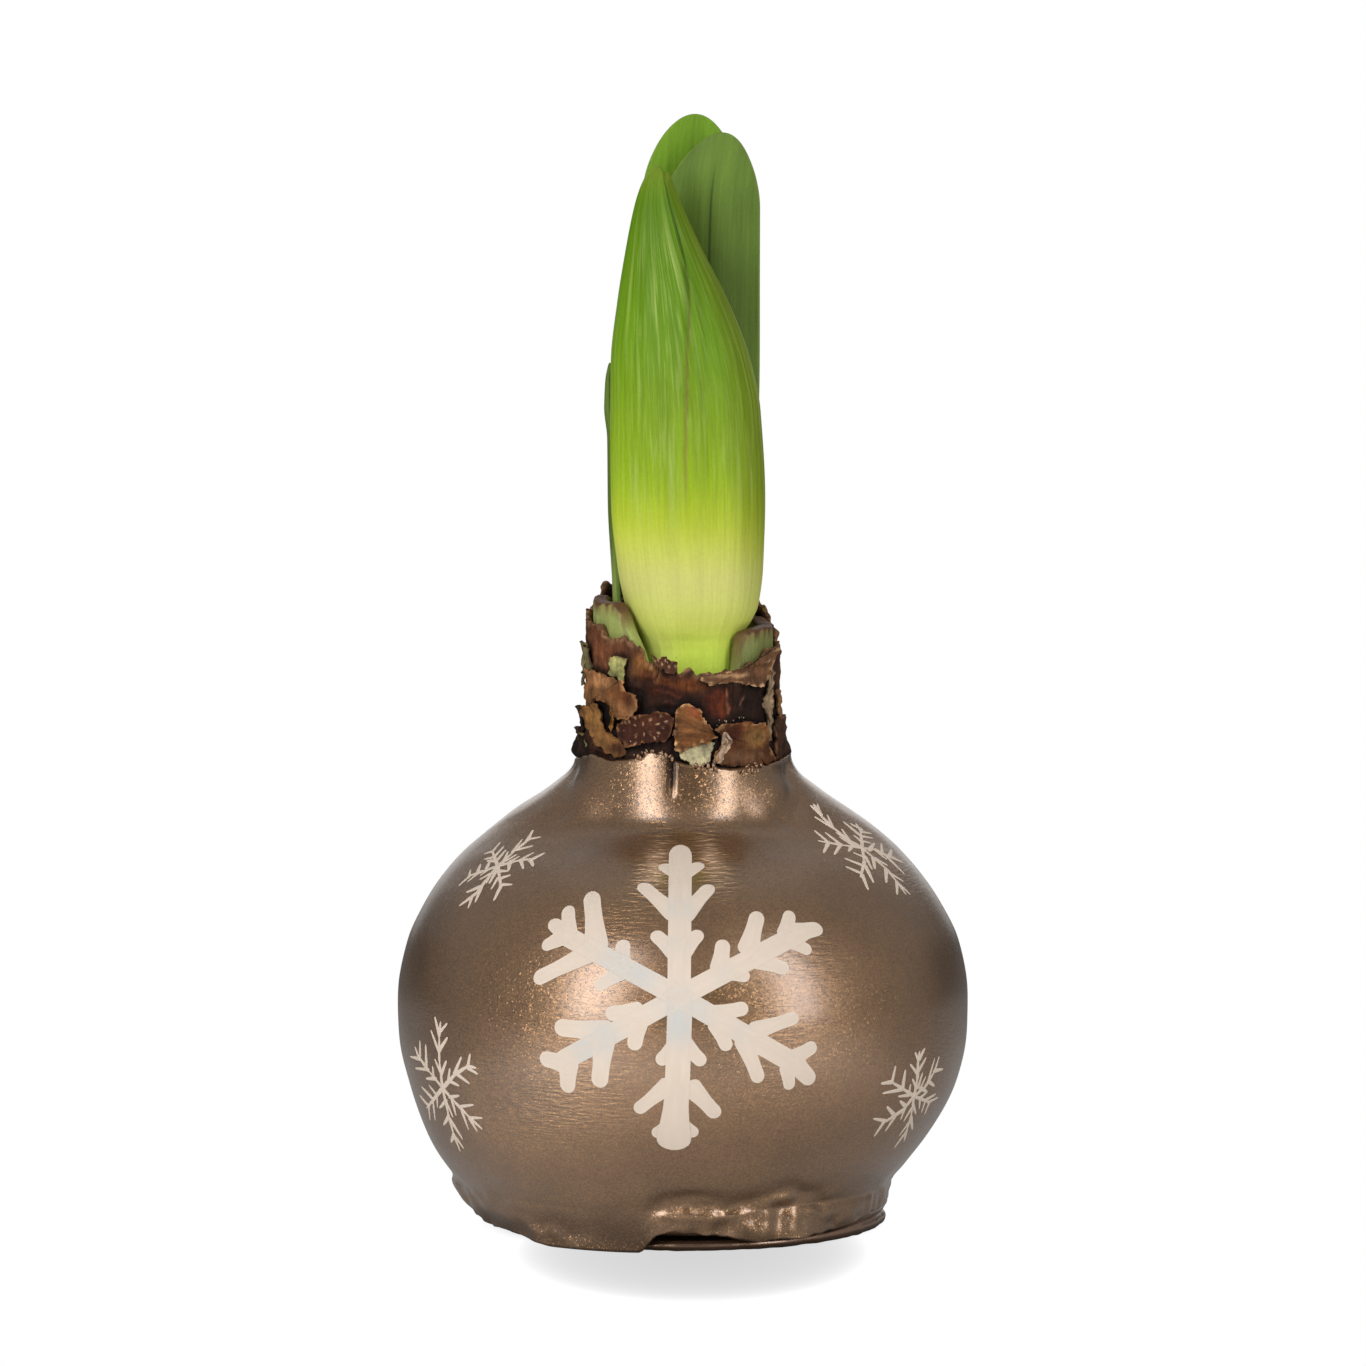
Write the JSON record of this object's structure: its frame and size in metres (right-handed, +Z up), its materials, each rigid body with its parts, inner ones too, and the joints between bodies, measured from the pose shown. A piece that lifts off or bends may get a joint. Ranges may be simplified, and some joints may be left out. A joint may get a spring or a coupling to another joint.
{
  "type": "waxed amaryllis bulb",
  "caption": "Amaryllis bulb dipped in bronze wax and painted with snowflakes, on a wire coil stand, with a flower bud and young leaves rising from its papery neck.",
  "frame": {"origin": "centre of the flat wax sole, on the surface that the bulb stands on, at the bulb's axis", "axes": "+Z up along the bulb's axis, -Y towards the side with the large snowflake and the flower bud, +X to that side's right"},
  "size_m": [0.0908, 0.0908, 0.1752],
  "materials": {
    "bronze_wax": "satin",
    "waxed_wire": "satin",
    "bulb_flesh": "satin",
    "dry_skin": "matte",
    "bud_green": "satin",
    "leaf_green": "satin",
    "snow_paint": "satin"
  },
  "bodies": {
    "root": {"wax_coat": "bronze_wax", "stand_coil": "waxed_wire", "bulb": "bulb_flesh", "tunic": "dry_skin", "flower_bud": "bud_green", "leaf_right": "leaf_green", "leaf_back": "leaf_green", "leaf_left": "leaf_green"}
  },
  "joints": []
}
